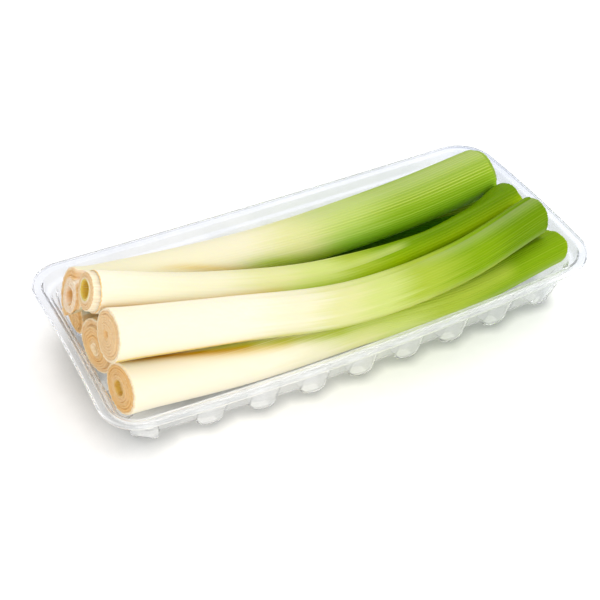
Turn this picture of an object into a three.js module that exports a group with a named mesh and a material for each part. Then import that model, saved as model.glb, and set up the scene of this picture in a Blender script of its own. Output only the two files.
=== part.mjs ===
// Six trimmed leeks lying in a clear moulded plastic tray.
// Millimetres, +Z up. The tray stands on its feet at z = 0, the root ends point to -X, the cut green
// ends to +X, and the long front side faces -Y. The origin is under the middle of the tray.
import * as THREE from 'three';

// Driving dimensions of the tray
const TRAY_LENGTH = 300;
const TRAY_WIDTH = 133.6;
const TRAY_HEIGHT = 38;
const RIM_RADIUS = 20.7;
const SHEET = 0.9;
const FLOOR_HEIGHT = 5;
const FOOT_DROP = FLOOR_HEIGHT - SHEET;
const COLUMN_HALF_WIDTH = 7.5;
const COLUMN_FLAT_HALF_WIDTH = 4.5;
const LONG_SIDE_COLUMNS = [-90, -60, -30, 0, 30, 60, 90];
const SHORT_SIDE_COLUMNS = [-22, 0, 22];
const CORNER_FOOT_ANGLE = 33;
const CORNER_FOOT_RADIUS = 16;
const CORNER_ANGLES = [0, 6, 17, 33, 49, 60, 75, 90];

// How far each side of the full tray bows outward at its middle, and how far the long rims sag there
const BOW = { front: 3.6, back: 1, root: -2, tip: 3 };
const RIM_SAG = { front: 3.6, back: 2.2 };
const SAG_START_HEIGHT = 10;

// The foot of the wall is pushed in near the front corner at the root end: inward there, and along
// the side at the corner itself. It fades out between the two heights.
const TUCK = { inward: 4.8, along: 6, low: 7, high: 30 };

// Section through the tray wall: from the floor up the inside, over the flange and down the outside.
// inset is measured in from the rim's edge, and radius is the corner's. column is how far a column
// stands out there, and drop is how far a foot sinks there, as a share of FOOT_DROP.
const WALL_SECTION = [
  { inset: 23.2, height: FLOOR_HEIGHT, radius: 13, column: 0, drop: 0 },
  { inset: 20.5, height: FLOOR_HEIGHT, radius: 14.5, column: 0, drop: 1 },
  { inset: 17.6, height: FLOOR_HEIGHT, radius: 16, column: 1.5, drop: 1 },
  { inset: 16.6, height: 6.6, radius: 16, column: 3.4, drop: 0.73 },
  { inset: 13.3, height: 18.5, radius: 15.5, column: 3, drop: 0 },
  { inset: 11.6, height: 25.5, radius: 15, column: 1.9, drop: 0 },
  { inset: 10.5, height: 29, radius: 14.5, column: 0, drop: 0 },
  { inset: 9.6, height: 31.6, radius: 14, column: 0, drop: 0 },
  { inset: 7.2, height: 32.2, radius: 14.5, column: 0, drop: 0 },
  { inset: 6, height: 37.6, radius: 15, column: 0, drop: 0 },
  { inset: 0, height: TRAY_HEIGHT, radius: RIM_RADIUS, column: 0, drop: 0 },
  { inset: 0, height: 35.8, radius: RIM_RADIUS, column: 0, drop: 0 },
  { inset: SHEET, height: 35.8, radius: RIM_RADIUS - SHEET, column: 0, drop: 0 },
  { inset: SHEET, height: 37.1, radius: RIM_RADIUS - SHEET, column: 0, drop: 0 },
  { inset: 5, height: 36.8, radius: 16, column: 0, drop: 0 },
  { inset: 6.2, height: 31.4, radius: 15.4, column: 0, drop: 0 },
  { inset: 8.7, height: 30.8, radius: 14.8, column: 0, drop: 0 },
  { inset: 10.7, height: 25.2, radius: 15.8, column: 1.9, drop: 0 },
  { inset: 12.4, height: 18.4, radius: 16.3, column: 3, drop: 0 },
  { inset: 15.7, height: 6, radius: 16.7, column: 3.4, drop: 0.73 },
  { inset: 17, height: FOOT_DROP, radius: 16.4, column: 1.5, drop: 1 },
  { inset: 21.3, height: FOOT_DROP, radius: 14, column: 0, drop: 1 },
  { inset: 24, height: FOOT_DROP, radius: 12.5, column: 0, drop: 0 },
];

// The leeks. Each follows a smooth curve through five evenly spaced points between its two cut ends:
// ends gives their x, across their y and lift their z. radii are given at four even steps.
// flat is how far the green end narrows across its keel, as a share of the radius, and keel and seam
// are the angles of the keel and of the outer leaf's edge, counted from the back over the top.
// innerLeaves is how far the inner leaves stand out past the outer one at the green end.
// The root face has a core that rises (coreRise) round a hollow, an outer sheath cut back by
// sheathBack, and a notch torn in it. toBack and toTop are the slopes of the cut there and of the
// cut at the green end (tip): a positive one cuts the leek shorter on that side.
const LEEKS = [
  {
    name: 'leek_rear', seed: 11, color: 0xb4cc6a,
    ends: [-135, 126],
    across: [25.9, 24.6, 21.3, 20.5, 24.5],
    lift: [48.3, 42.6, 40.9, 43.4, 46.6],
    radii: [13.6, 13, 15.4, 16],
    flat: 0.05, keel: 100, seam: 205, innerLeaves: 2.6,
    root: { coreRise: 0.8, hollow: 5, sheathBack: 0.3, notch: 4, toBack: 0.05, toTop: 0.25 },
    tip: { toBack: 0.12, toTop: 0.14 },
  },
  {
    name: 'leek_upper', seed: 23, color: 0xa9c65e,
    ends: [-132.3, 129],
    across: [5.2, -3, -14.3, -14.5, -3.1],
    lift: [66.3, 46.1, 39.1, 42.5, 43.7],
    radii: [11.2, 12, 11.9, 13.2],
    flat: 0.14, keel: 150, seam: 120, innerLeaves: 0.4,
    root: { coreRise: 0.6, hollow: 5, sheathBack: 3.2, notch: 0, toBack: -0.07, toTop: 0.03 },
    tip: { toBack: 0, toTop: 0 },
  },
  {
    name: 'leek_front', seed: 37, color: 0xb9d06e,
    ends: [-131.5, 126.5],
    across: [-19.7, -29.1, -41.2, -42.2, -29.7],
    lift: [56.6, 48.9, 44.4, 47.1, 51.4],
    radii: [13.6, 12, 12.3, 13.2],
    flat: 0.12, keel: 95, seam: 75, innerLeaves: 0,
    root: { coreRise: 0.4, hollow: 1.5, sheathBack: 0.4, notch: 0, toBack: -0.15, toTop: 0.13 },
    tip: { toBack: 0, toTop: 0 },
  },
  {
    name: 'leek_low_front', seed: 41, color: 0xa6c655,
    ends: [-130.5, 136.5],
    across: [-29, -31.5, -34.3, -39.8, -39.7],
    lift: [26.5, 20.2, 19.8, 20.8, 32],
    radii: [13.7, 13.8, 12.3, 11.9],
    flat: 0.1, keel: 130, seam: 60, innerLeaves: 0.3,
    root: { coreRise: 0.5, hollow: 3, sheathBack: 0.2, notch: 0, toBack: -0.16, toTop: 0.11 },
    tip: { toBack: 0.2, toTop: -0.28 },
  },
  {
    name: 'leek_low_rear', seed: 53, color: 0xb2cb68,
    ends: [-131, 130],
    across: [38, 40, 38.5, 34, 27],
    lift: [23.8, 19.5, 18.5, 18, 17.5],
    radii: [12, 12.8, 12.4, 11.8],
    flat: 0.1, keel: 70, seam: 150, innerLeaves: 1,
    root: { coreRise: 0.5, hollow: 1, sheathBack: 0.6, notch: 1.5, toBack: 0, toTop: 0.03 },
    tip: { toBack: 0, toTop: 0 },
  },
  {
    name: 'leek_low_middle', seed: 67, color: 0xadc962,
    ends: [-131, 129],
    across: [3, 7, 2, -7, -16],
    lift: [29, 20, 18.5, 18, 17.5],
    radii: [15, 13.4, 12.2, 11.8],
    flat: 0.1, keel: 60, seam: 20, innerLeaves: 0.6,
    root: { coreRise: 1, hollow: 2, sheathBack: 0.5, notch: 0, toBack: -0.12, toTop: 0.03 },
    tip: { toBack: 0, toTop: 0 },
  },
];

// Form that all the leeks share. A share of the length counts from the root end.
const SHAFT_SIDES = 22;
const SHAFT_STATIONS = 14;
const RIB_COUNT = SHAFT_SIDES / 2;
const RIB_DEPTH = 0.35;
const RIB_SPAN = { start: 0.3, full: 0.8 };
const KEEL_START = 0.4;
const ROOT_FLARE = { height: 0.5, length: 0.03 };
const SEAM_STEP = { root: 0.32, tip: 0.9 };

// The root face: widths and places are shares of the leek's radius there
const ROOT_FACE = {
  chamfer: 0.7,
  layers: 3,
  outerEdge: 0.95,
  layerWidth: 0.22,
  flatWidth: 0.145,
  grooveMiddle: 0.183,
  groove: 0.8,
  uneven: 0.3,
  hollowRadius: 0.24,
  sheathInside: 0.7,
};
const NOTCH = { angle: 94, spread: 16 };

// The cut green end, in the same way. shift moves the inner leaves towards the keel.
const LEAF_FACE = {
  layers: 4,
  layerWidth: 0.24,
  leafWidth: 0.12,
  grooveMiddle: 0.18,
  groove: 3,
  uneven: 2,
  wave: 0.5,
  shift: 0.22,
};

function radians(degrees) {
  return THREE.MathUtils.degToRad(degrees);
}

// Numbers from 0 to 1 that repeat with the seed
function seededRandom(seed) {
  let state = seed;
  return () => {
    state = (state * 16807) % 2147483647;
    return state / 2147483647;
  };
}

// A closed solid from rings of equal count, first to last, with a flat or pointed cap at each end.
// Each ring turns the same way, and the solid grows along the ring's right-hand normal.
function solidFromRings(rings, startCentre, endCentre) {
  const count = rings[0].length;
  const positions = rings.flat().concat([startCentre, endCentre]).flatMap((p) => [p.x, p.y, p.z]);
  const startIndex = rings.length * count;
  const endIndex = startIndex + 1;
  const lastRing = (rings.length - 1) * count;
  const faces = [];
  for (let i = 0; i < count; i += 1) {
    const next = (i + 1) % count;
    faces.push(startIndex, next, i);
    faces.push(endIndex, lastRing + i, lastRing + next);
    for (let ring = 0; ring < rings.length - 1; ring += 1) {
      const low = ring * count;
      const high = low + count;
      faces.push(low + i, low + next, high + next);
      faces.push(low + i, high + next, high + i);
    }
  }
  const geometry = new THREE.BufferGeometry();
  geometry.setAttribute('position', new THREE.Float32BufferAttribute(positions, 3));
  geometry.setIndex(faces);
  geometry.computeVertexNormals();
  return geometry;
}

// How strongly a column or foot stands out at a distance from its middle, 0 to 1
function columnStrength(distance) {
  return Math.sqrt(Math.max(0, 1 - (distance / COLUMN_HALF_WIDTH) ** 2));
}

// The foot's underside stays flat out to COLUMN_FLAT_HALF_WIDTH
function footStrength(distance) {
  return Math.min(1, columnStrength(distance) / columnStrength(COLUMN_FLAT_HALF_WIDTH));
}

// Places round the tray, anticlockwise from above: the columns of each side, then its corner
function trayStations() {
  const offsets = [-COLUMN_HALF_WIDTH, -COLUMN_FLAT_HALF_WIDTH, 0, COLUMN_FLAT_HALF_WIDTH,
    COLUMN_HALF_WIDTH];
  const stations = [];
  for (let side = 0; side < 4; side += 1) {
    const isShort = side % 2 === 0;
    const columns = isShort ? SHORT_SIDE_COLUMNS : LONG_SIDE_COLUMNS;
    for (const middle of columns) {
      for (const offset of offsets) {
        stations.push({ side, along: middle + offset, fromMiddle: offset });
      }
    }
    for (const step of CORNER_ANGLES) {
      const angle = isShort ? 90 - step : step;
      const fromMiddle = radians(step - CORNER_FOOT_ANGLE) * CORNER_FOOT_RADIUS;
      stations.push({ side, angle, fromMiddle });
    }
    if (isShort) {
      stations.splice(-CORNER_ANGLES.length, CORNER_ANGLES.length,
        ...stations.slice(-CORNER_ANGLES.length).reverse());
    }
  }
  return stations;
}

function tuck(point) {
  const { smoothstep } = THREE.MathUtils;
  const lowShare = 1 - smoothstep(point.z, TUCK.low, TUCK.high);
  const inward = TUCK.inward * smoothstep(-point.x, 30, 120) * smoothstep(-point.y, 30, 50);
  const along = TUCK.along * smoothstep(-point.x, 112, 135) * smoothstep(-point.y, 42, 54);
  return new THREE.Vector3(point.x + along * lowShare, point.y + inward * lowShare, point.z);
}

// The full tray's sides bow out and its long rims sag a little
function flex(point) {
  const alongX = 1 - (point.x / (TRAY_LENGTH / 2)) ** 2;
  const alongY = 1 - (point.y / (TRAY_WIDTH / 2)) ** 2;
  const shareX = (point.x / (TRAY_LENGTH / 2)) ** 2;
  const shareY = (point.y / (TRAY_WIDTH / 2)) ** 2;
  const isFront = point.y < 0;
  const rise = THREE.MathUtils.smoothstep(point.z, SAG_START_HEIGHT, TRAY_HEIGHT);
  const bowX = point.x < 0 ? -BOW.root : BOW.tip;
  const bowY = isFront ? -BOW.front : BOW.back;
  const sag = isFront ? RIM_SAG.front : RIM_SAG.back;
  return new THREE.Vector3(
    point.x + bowX * alongY * shareX,
    point.y + bowY * alongX * shareY,
    point.z - sag * alongX * shareY * rise,
  );
}

function trayPoint(station, level) {
  const halfLength = TRAY_LENGTH / 2 - level.inset;
  const halfWidth = TRAY_WIDTH / 2 - level.inset;
  const isShort = station.side % 2 === 0;
  const outwardReach = isShort ? halfLength : halfWidth;
  const sideReach = isShort ? halfWidth : halfLength;
  const sideAngle = radians(90 * station.side);
  const standOut = level.column * columnStrength(station.fromMiddle);
  const height = level.height - FOOT_DROP * level.drop * footStrength(station.fromMiddle);
  let outward = outwardReach + standOut;
  let along = station.along;
  if (station.angle !== undefined) {
    const turn = radians(station.angle);
    outward = outwardReach - level.radius + (level.radius + standOut) * Math.cos(turn);
    along = sideReach - level.radius + (level.radius + standOut) * Math.sin(turn);
  }
  const x = outward * Math.cos(sideAngle) - along * Math.sin(sideAngle);
  const y = outward * Math.sin(sideAngle) + along * Math.cos(sideAngle);
  return tuck(flex(new THREE.Vector3(x, y, height)));
}

// One thin shell, drawn as a ring for each level of the wall section. The rings run from the floor's
// upper side over the flange to its underside, so the section grows outward and then back in.
function trayGeometry() {
  const stations = trayStations();
  const rings = WALL_SECTION.map((level) => stations.map((station) => trayPoint(station, level)));
  const floorTop = new THREE.Vector3(0, 0, FLOOR_HEIGHT);
  const floorUnder = new THREE.Vector3(0, 0, FOOT_DROP);
  return solidFromRings(rings.reverse(), floorUnder, floorTop);
}

function leekPath(leek) {
  const [rootX, tipX] = leek.ends;
  const points = leek.across.map((y, i) => {
    const x = THREE.MathUtils.lerp(rootX, tipX, i / (leek.across.length - 1));
    return new THREE.Vector3(x, y, leek.lift[i]);
  });
  return new THREE.CatmullRomCurve3(points);
}

function leekRadiusCurve(leek) {
  return new THREE.SplineCurve(leek.radii.map((radius, i) => new THREE.Vector2(i, radius)));
}

// Radius at an angle and a place along the leek (0 root, 1 green end): round at the root, then
// narrower across the keel, with shallow lengthwise ribs and the step of the outer leaf's edge
function shaftRadius(leek, radiusCurve, place, angle) {
  const flare = ROOT_FLARE.height * Math.exp(-((place / ROOT_FLARE.length) ** 2));
  const keelShare = THREE.MathUtils.smoothstep(place, KEEL_START, 1);
  const ribShare = THREE.MathUtils.smoothstep(place, RIB_SPAN.start, RIB_SPAN.full);
  const acrossKeel = Math.sin(angle - radians(leek.keel)) ** 2;
  const fromSeam = THREE.MathUtils.euclideanModulo(angle - radians(leek.seam), 2 * Math.PI);
  const seamStep = THREE.MathUtils.lerp(SEAM_STEP.root, SEAM_STEP.tip, keelShare);
  const wrap = seamStep * (1 - fromSeam / (2 * Math.PI));
  const rib = (RIB_DEPTH / 2) * ribShare * (1 - Math.cos(RIB_COUNT * angle));
  const round = radiusCurve.getPoint(place).y + flare;
  return round * (1 - leek.flat * keelShare * acrossKeel) - wrap - rib;
}

// The root face from its edge to its centre, as [share of the radius, rise out of the face]:
// a chamfered edge, then sheath layers with grooves between them, and a hollow in the core
function rootFaceProfile(leek, random) {
  const { coreRise, hollow, sheathBack } = leek.root;
  const profile = [[1, -ROOT_FACE.chamfer - sheathBack]];
  for (let layer = 0; layer < ROOT_FACE.layers; layer += 1) {
    const share = layer / (ROOT_FACE.layers - 1);
    const outer = ROOT_FACE.outerEdge - layer * ROOT_FACE.layerWidth;
    const back = layer === 0 ? sheathBack : 0;
    const rise = coreRise * share ** 2 - back + ROOT_FACE.uneven * random();
    profile.push([outer, rise]);
    profile.push([outer - ROOT_FACE.flatWidth, rise]);
    if (layer < ROOT_FACE.layers - 1) {
      profile.push([outer - ROOT_FACE.grooveMiddle, rise - ROOT_FACE.groove]);
    }
  }
  profile.push([ROOT_FACE.hollowRadius, coreRise - hollow]);
  return profile;
}

// The cut green end from its edge to its centre: nested leaves that end a little apart, with deep
// gaps between them
function leafFaceProfile(leek, random) {
  const profile = [];
  for (let layer = 0; layer < LEAF_FACE.layers; layer += 1) {
    const outer = 1 - layer * LEAF_FACE.layerWidth;
    const rise = layer === 0 ? 0 : leek.innerLeaves + LEAF_FACE.uneven * (random() - 0.5);
    profile.push([outer, rise]);
    profile.push([outer - LEAF_FACE.leafWidth, rise]);
    if (layer < LEAF_FACE.layers - 1) {
      profile.push([outer - LEAF_FACE.grooveMiddle, rise - LEAF_FACE.groove]);
    }
  }
  return profile;
}

function leekGeometry(leek) {
  const random = seededRandom(leek.seed);
  const path = leekPath(leek);
  const radiusCurve = leekRadiusCurve(leek);
  const up = new THREE.Vector3(0, 0, 1);

  // A ring at a place along the leek. along moves each point along the leek's line.
  function ring(place, share, along, shift) {
    const centre = path.getPoint(place);
    const tangent = path.getTangent(place);
    const back = new THREE.Vector3().crossVectors(up, tangent).normalize();
    const top = new THREE.Vector3().crossVectors(tangent, back);
    const keelAngle = radians(leek.keel);
    const points = [];
    for (let i = 0; i < SHAFT_SIDES; i += 1) {
      const angle = (2 * Math.PI * i) / SHAFT_SIDES;
      const reach = share * shaftRadius(leek, radiusCurve, place, angle);
      const toBack = reach * Math.cos(angle) + shift * Math.cos(keelAngle);
      const toTop = reach * Math.sin(angle) + shift * Math.sin(keelAngle);
      const point = centre.clone();
      point.addScaledVector(back, toBack);
      point.addScaledVector(top, toTop);
      point.addScaledVector(tangent, along(angle, toBack, toTop));
      points.push(point);
    }
    return points;
  }

  function rootRing([share, rise]) {
    return ring(0, share, (angle, toBack, toTop) => {
      const fromNotch = Math.sin((angle - radians(NOTCH.angle)) / 2) / radians(NOTCH.spread / 2);
      const isSheath = share > ROOT_FACE.sheathInside;
      const notch = isSheath ? leek.root.notch * Math.exp(-(fromNotch ** 2)) : 0;
      return leek.root.toBack * toBack + leek.root.toTop * toTop + notch - rise;
    }, 0);
  }

  function leafRing([share, rise]) {
    const shift = LEAF_FACE.shift * (1 - share) * leek.radii[3];
    const wave = LEAF_FACE.wave * random();
    return ring(1, share, (angle, toBack, toTop) => {
      const cut = leek.tip.toBack * toBack + leek.tip.toTop * toTop;
      return rise + wave * Math.sin(3 * angle + leek.seed) - cut;
    }, shift);
  }

  const rootRings = rootFaceProfile(leek, random).reverse().map(rootRing);
  const shaftRings = [];
  for (let station = 1; station < SHAFT_STATIONS; station += 1) {
    shaftRings.push(ring(station / SHAFT_STATIONS, 1, () => 0, 0));
  }
  const leafRings = leafFaceProfile(leek, random).map(leafRing);
  return solidFromRings(
    [...rootRings, ...shaftRings, ...leafRings],
    middle(rootRings[0]),
    middle(leafRings[leafRings.length - 1]),
  );
}

function middle(points) {
  const sum = points.reduce((total, point) => total.add(point), new THREE.Vector3());
  return sum.divideScalar(points.length);
}

function makeTray() {
  const material = new THREE.MeshStandardMaterial({ color: 0xe8ecef, roughness: 0.12, metalness: 0 });
  material.transparent = true;
  material.opacity = 0.4;
  const mesh = new THREE.Mesh(trayGeometry(), material);
  mesh.name = 'tray';
  return mesh;
}

function makeLeek(leek) {
  const material = new THREE.MeshStandardMaterial({ color: leek.color, roughness: 0.42, metalness: 0 });
  const mesh = new THREE.Mesh(leekGeometry(leek), material);
  mesh.name = leek.name;
  return mesh;
}

const leekBunch = new THREE.Group();
leekBunch.add(makeTray());
for (const leek of LEEKS) {
  leekBunch.add(makeLeek(leek));
}

// The sides bow unevenly, so the whole part is moved to stand with its middle over the origin
const outline = new THREE.Box3().setFromObject(leekBunch);
leekBunch.position.x = -(outline.min.x + outline.max.x) / 2;
leekBunch.position.y = -(outline.min.y + outline.max.y) / 2;

export default leekBunch;
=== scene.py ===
import math
import bpy
import numpy as np
from mathutils import Matrix, Vector


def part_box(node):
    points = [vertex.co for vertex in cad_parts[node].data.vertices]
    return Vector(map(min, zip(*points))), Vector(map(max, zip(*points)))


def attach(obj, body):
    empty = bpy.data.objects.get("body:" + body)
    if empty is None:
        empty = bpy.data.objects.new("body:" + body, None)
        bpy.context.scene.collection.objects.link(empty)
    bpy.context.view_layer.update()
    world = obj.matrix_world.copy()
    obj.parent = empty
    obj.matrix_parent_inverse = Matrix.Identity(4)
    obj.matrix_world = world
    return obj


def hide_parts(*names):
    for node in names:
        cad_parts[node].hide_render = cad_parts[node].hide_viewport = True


print("loading the frame")
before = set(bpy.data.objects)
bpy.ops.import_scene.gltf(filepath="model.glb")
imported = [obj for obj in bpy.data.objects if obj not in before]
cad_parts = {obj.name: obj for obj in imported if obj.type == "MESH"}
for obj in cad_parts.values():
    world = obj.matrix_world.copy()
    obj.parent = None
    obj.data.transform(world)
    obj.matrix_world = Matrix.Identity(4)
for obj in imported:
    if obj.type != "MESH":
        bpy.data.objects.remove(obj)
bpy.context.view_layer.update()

# The clear tray, in metres, in its own frame; it stands on its feet at height 0
tray = {
    "length": 0.29996,
    "width": 0.1336,
    "height": 0.038,
    "sheet": 0.0009,
    "floorHeight": 0.005,
    "columnHalfWidth": 0.0075,
    "columnFlatHalfWidth": 0.0045,
    "longSideColumns": [-0.09, -0.06, -0.03, 0, 0.03, 0.06, 0.09],
    "shortSideColumns": [-0.022, 0, 0.022],
    "cornerFootAngle": 33,
    "cornerFootRadius": 0.016,
    "bow": {"front": 0.0036, "back": 0.001, "root": -0.002, "tip": 0.003},
    "sag": {"front": 0.0036, "back": 0.0022, "start": 0.010},
    "tuck": {
        "inward": 0.0048, "inwardX": (0.030, 0.120), "inwardY": (0.030, 0.050),
        "along": 0.006, "alongX": (0.112, 0.135), "alongY": (0.042, 0.054),
        "heights": (0.007, 0.030),
    },
    "columnSteps": 14,  # points across one column
    "wallSteps": 5,  # points between two columns
    "cornerSteps": 30,
    "archLow": 0.019,  # the columns narrow to a round top between these heights
    "archHigh": 0.0285,
    "bend": 0.0008,  # how much of each bend in the section is rounded
    "bendSteps": 4,
    "sectionStep": 0.0025,  # the longest step down the section
    "cornerReach": 0.037,  # the straight part of a side ends this far before the rim's edge
    "slot": "clear_tray",
}
trayLow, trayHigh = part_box("tray")
shift = Vector((
    trayHigh.x - tray["length"] / 2 - tray["bow"]["tip"],
    trayLow.y + tray["width"] / 2 + tray["bow"]["front"],
    0,
))  # from the tray's own frame to the part's

cameraView = {
    "place": (-0.2612, -0.4279, 0.4690),  # in the tray's frame
    "azimuth": -30.44,
    "elevation": 42.4,
    "roll": 3.0,
    "lens": 70.6,
}


def addObject(name, data):
    thing = bpy.data.objects.new(name, data)
    bpy.context.scene.collection.objects.link(thing)
    return thing


def makeCamera():
    azimuth, elevation, roll = (math.radians(cameraView[key]) for key in ("azimuth", "elevation", "roll"))
    back = Vector((
        math.sin(azimuth) * math.cos(elevation),
        -math.cos(azimuth) * math.cos(elevation),
        math.sin(elevation),
    ))
    level = Vector((0, 0, 1)).cross(back).normalized()
    upright = back.cross(level)
    right = math.cos(roll) * level + math.sin(roll) * upright
    up = back.cross(right)
    camera = addObject("camera", bpy.data.cameras.new("camera"))
    camera.data.lens = cameraView["lens"]
    camera.data.clip_start = 0.01
    camera.data.clip_end = 20
    turn = Matrix((right, up, back)).transposed().to_4x4()
    camera.matrix_world = Matrix.Translation(Vector(cameraView["place"]) + shift) @ turn
    bpy.context.scene.camera = camera


makeCamera()
print("camera placed")


def smoothShare(value, low, high):
    share = np.clip((value - low) / (high - low), 0, 1)
    return share * share * (3 - 2 * share)


# A closed mesh from rings of equal count, with a fan at each end. zones gives the material of the
# strip after each ring, and spans the two map values across it; turns is the map value round a ring.
def ringMesh(name, rings, turns, zones, spans, mapName):
    ringCount, sideCount = rings.shape[:2]
    points = np.concatenate([rings.reshape(-1, 3), rings[:1].mean(1), rings[-1:].mean(1)])
    startPoint = ringCount * sideCount
    side = np.arange(sideCount)
    nextSide = (side + 1) % sideCount
    base = np.arange(ringCount - 1)[:, None] * sideCount
    above = base + sideCount
    quads = np.stack([base + side, base + nextSide, above + nextSide, above + side], -1)
    lastBase = (ringCount - 1) * sideCount
    startFan = np.stack([np.full(sideCount, startPoint), nextSide, side], -1)
    endFan = np.stack([np.full(sideCount, startPoint + 1), lastBase + side, lastBase + nextSide], -1)
    corners = np.concatenate([quads.ravel(), startFan.ravel(), endFan.ravel()])
    quadCount = (ringCount - 1) * sideCount
    starts = np.concatenate([np.arange(quadCount) * 4, quadCount * 4 + np.arange(2 * sideCount) * 3])
    zoneOfFace = np.concatenate([
        np.repeat(zones, sideCount),
        np.full(sideCount, zones[0]),
        np.full(sideCount, zones[-1]),
    ])

    low, high = turns[:-1], turns[1:]
    quadMap = np.empty((ringCount - 1, sideCount, 4, 2))
    quadMap[..., 0] = np.stack([low, high, high, low], -1)
    quadMap[..., 0:2, 1] = np.asarray(spans)[:, None, 0:1]
    quadMap[..., 2:4, 1] = np.asarray(spans)[:, None, 1:2]
    startMap = np.stack([np.stack([low, high, low], -1), np.full((sideCount, 3), spans[0][0])], -1)
    endMap = np.stack([np.stack([low, low, high], -1), np.full((sideCount, 3), spans[-1][1])], -1)
    mapValues = np.concatenate([quadMap.ravel(), startMap.ravel(), endMap.ravel()])

    mesh = bpy.data.meshes.new(name)
    mesh.vertices.add(len(points))
    mesh.vertices.foreach_set("co", points.ravel())
    mesh.loops.add(len(corners))
    mesh.loops.foreach_set("vertex_index", corners.astype(np.int32))
    mesh.polygons.add(len(starts))
    mesh.polygons.foreach_set("loop_start", starts.astype(np.int32))
    mesh.polygons.foreach_set("material_index", zoneOfFace.astype(np.int32))
    mesh.polygons.foreach_set("use_smooth", np.ones(len(starts), bool))
    mesh.uv_layers.new(name=mapName).data.foreach_set("uv", mapValues)
    mesh.update(calc_edges=True)
    mesh.validate()
    return mesh


def addPiece(name, mesh, materials, node):
    piece = addObject(name, mesh)
    for material in materials:
        mesh.materials.append(material)
    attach(piece, "root")
    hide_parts(node)
    return piece


# Node helpers
def fill(tree, node, values):
    for key, value in values.items():
        if isinstance(value, bpy.types.NodeSocket):
            tree.links.new(value, node.inputs[key])
        else:
            node.inputs[key].default_value = value


def addNode(tree, kind, values=None, **settings):
    node = tree.nodes.new(kind)
    for key, value in settings.items():
        setattr(node, key, value)
    fill(tree, node, values or {})
    return node


def calc(tree, operation, first, second=0.0):
    return addNode(tree, "ShaderNodeMath", {0: first, 1: second}, operation=operation).outputs[0]


def times(tree, first, second):
    return calc(tree, "MULTIPLY", first, second)


def plus(tree, first, second):
    return calc(tree, "ADD", first, second)


def centred(tree, mask):
    return calc(tree, "SUBTRACT", mask, 0.5)


def between(tree, value, low, high, outLow=0.0, outHigh=1.0):
    node = addNode(tree, "ShaderNodeMapRange", {
        "Value": value, "From Min": low, "From Max": high, "To Min": outLow, "To Max": outHigh,
    }, interpolation_type="SMOOTHSTEP")
    return node.outputs["Result"]


def blend(tree, factor, first, second, mode="MIX"):
    sockets = {0: factor, 6: first, 7: second}
    node = addNode(tree, "ShaderNodeMix", sockets, data_type="RGBA", blend_type=mode)
    return node.outputs[2]


def noiseAt(tree, vector, scale, detail=2.0, roughness=0.5):
    node = addNode(tree, "ShaderNodeTexNoise", {
        "Vector": vector, "Scale": scale, "Detail": detail, "Roughness": roughness,
    })
    return node.outputs["Fac"]


def join(tree, x, y, z):
    return addNode(tree, "ShaderNodeCombineXYZ", {"X": x, "Y": y, "Z": z}).outputs["Vector"]


def ramp(tree, value, stops, interpolation="EASE"):
    node = addNode(tree, "ShaderNodeValToRGB", {"Fac": value})
    node.color_ramp.interpolation = interpolation
    while len(node.color_ramp.elements) < len(stops):
        node.color_ramp.elements.new(0.5)
    for element, (place, colour) in zip(node.color_ramp.elements, stops):
        element.position = place
        element.color = (*colour, 1)
    return node.outputs["Color"]


def startGroup(name, inputs, outputs):
    group = bpy.data.node_groups.new(name, "ShaderNodeTree")
    for label, value in inputs:
        socket = group.interface.new_socket(label, in_out="INPUT", socket_type="NodeSocketFloat")
        socket.default_value = value
    for label in outputs:
        group.interface.new_socket(label, in_out="OUTPUT", socket_type="NodeSocketFloat")
    return group, group.nodes.new("NodeGroupInput").outputs, group.nodes.new("NodeGroupOutput").inputs


def useGroup(tree, group, values):
    return addNode(tree, "ShaderNodeGroup", values, node_tree=group).outputs


def putOut(group, out, **values):
    for label, value in values.items():
        group.links.new(value, out[label])
    return group


# Scales, stretches and fades of the shared patterns
patterns = {
    "streakScale": 4.5,
    "streakChange": 0.35,  # how fast the broad streaks change lengthwise
    "threadScale": 22.0,
    "threadChange": 0.06,
    "ribSway": 5.0,
    "ribPower": 2.2,
    "bandFadeIn": 0.12,
    "bandFadeOut": 0.05,
    "rayScale": 7.0,
    "driftScale": 2.6,
    "patchScale": 3.5,
    "ringPower": 4.0,
    "mottleScale": 11.0,
}


# Lengthwise veins: broad streaks, fine threads and even ribs, seamless round the stalk
def makeVeinGroup():
    group, given, out = startGroup(
        "stalkVeins",
        [("Turn", 0), ("Place", 0), ("Seed", 0), ("Ribs", 54)],
        ["Streak", "Thread", "Rib", "Height"],
    )
    angle = times(group, given["Turn"], 2 * math.pi)
    x = calc(group, "COSINE", angle)
    y = calc(group, "SINE", angle)
    lengthwise = plus(group, given["Place"], given["Seed"])
    around = join(group, x, y, times(group, lengthwise, patterns["streakChange"]))
    streak = noiseAt(group, around, patterns["streakScale"], 3.0)
    closer = join(group, x, y, times(group, lengthwise, patterns["threadChange"]))
    thread = noiseAt(group, closer, patterns["threadScale"], 2.0, 0.6)
    sway = times(group, streak, patterns["ribSway"])
    ribAngle = plus(group, times(group, angle, given["Ribs"]), sway)
    rib = plus(group, times(group, calc(group, "SINE", ribAngle), 0.5), 0.5)
    rib = calc(group, "POWER", rib, patterns["ribPower"])
    height = plus(group, times(group, rib, 0.5), times(group, thread, 0.5))
    return putOut(group, out, Streak=streak, Thread=thread, Rib=rib, Height=height)


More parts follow.
